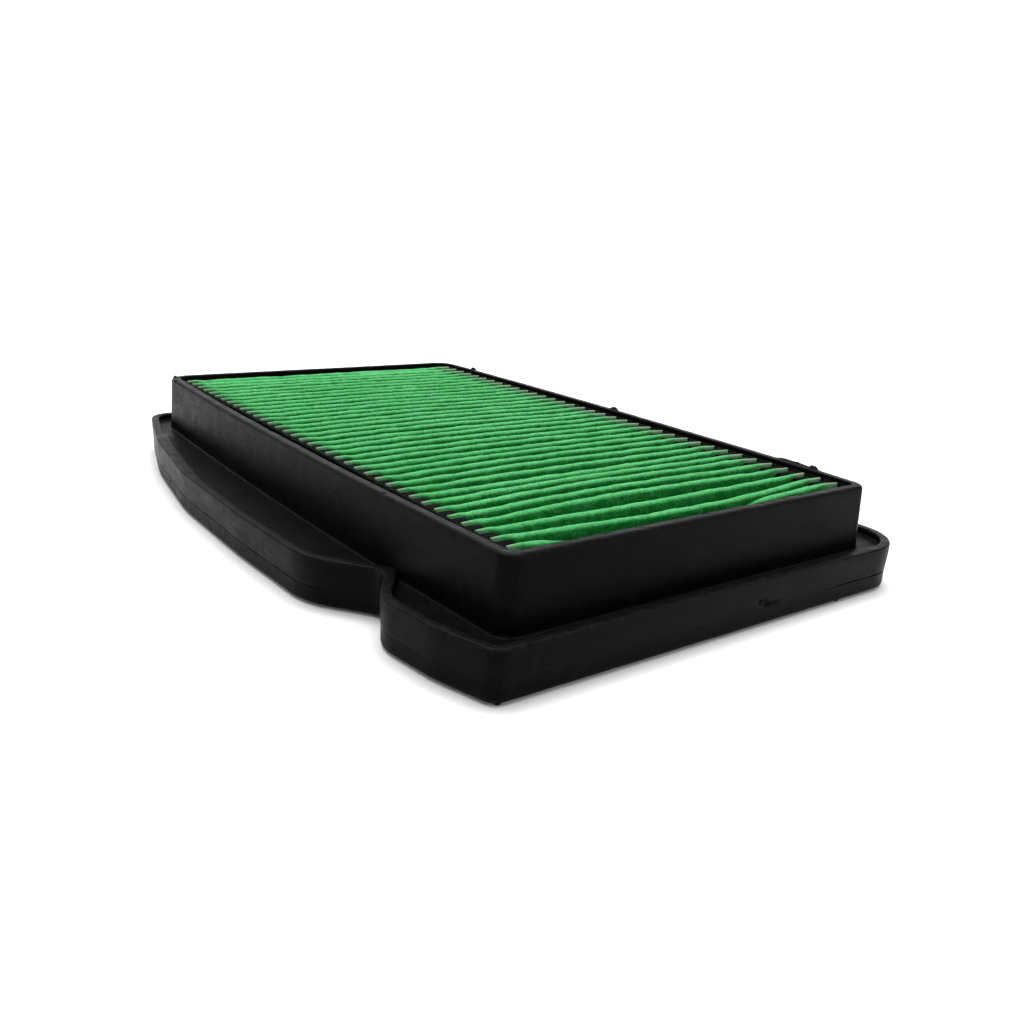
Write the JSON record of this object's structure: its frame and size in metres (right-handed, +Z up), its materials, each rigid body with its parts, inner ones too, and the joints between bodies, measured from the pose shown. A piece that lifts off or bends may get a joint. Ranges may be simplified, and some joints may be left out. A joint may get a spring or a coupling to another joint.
{
  "type": "air filter element",
  "caption": "Panel air filter element: a moulded box packed with green pleated media, on a wide flange with a raised lip, a waist on one side and a gasket channel underneath.",
  "frame": {"origin": "under the middle of the flange, on the plane of the four feet", "axes": "+X along the pleats, +Y along the long side of the box, +Z up out of the pleated (dirty) side"},
  "size_m": [0.1378, 0.2052, 0.0264],
  "materials": {
    "frame_plastic": "satin moulded black polypropylene",
    "grid_plastic": "satin moulded black polypropylene",
    "comb_plastic": "satin moulded black plastic",
    "gasket_rubber": "soft matte black foam rubber",
    "filter_media": "oil-wetted green nonwoven, fibrous, slightly moist sheen",
    "sealant": "cured black sealant, slightly glossy"
  },
  "bodies": {
    "root": {"upper_frame": "frame_plastic", "lower_frame": "frame_plastic", "perimeter_gasket": "gasket_rubber", "support_grid": "grid_plastic", "pleated_media": "filter_media", "left_comb": "comb_plastic", "right_comb": "comb_plastic", "left_edge_seal": "sealant", "right_edge_seal": "sealant", "front_end_seal": "sealant", "back_end_seal": "sealant"}
  },
  "joints": []
}
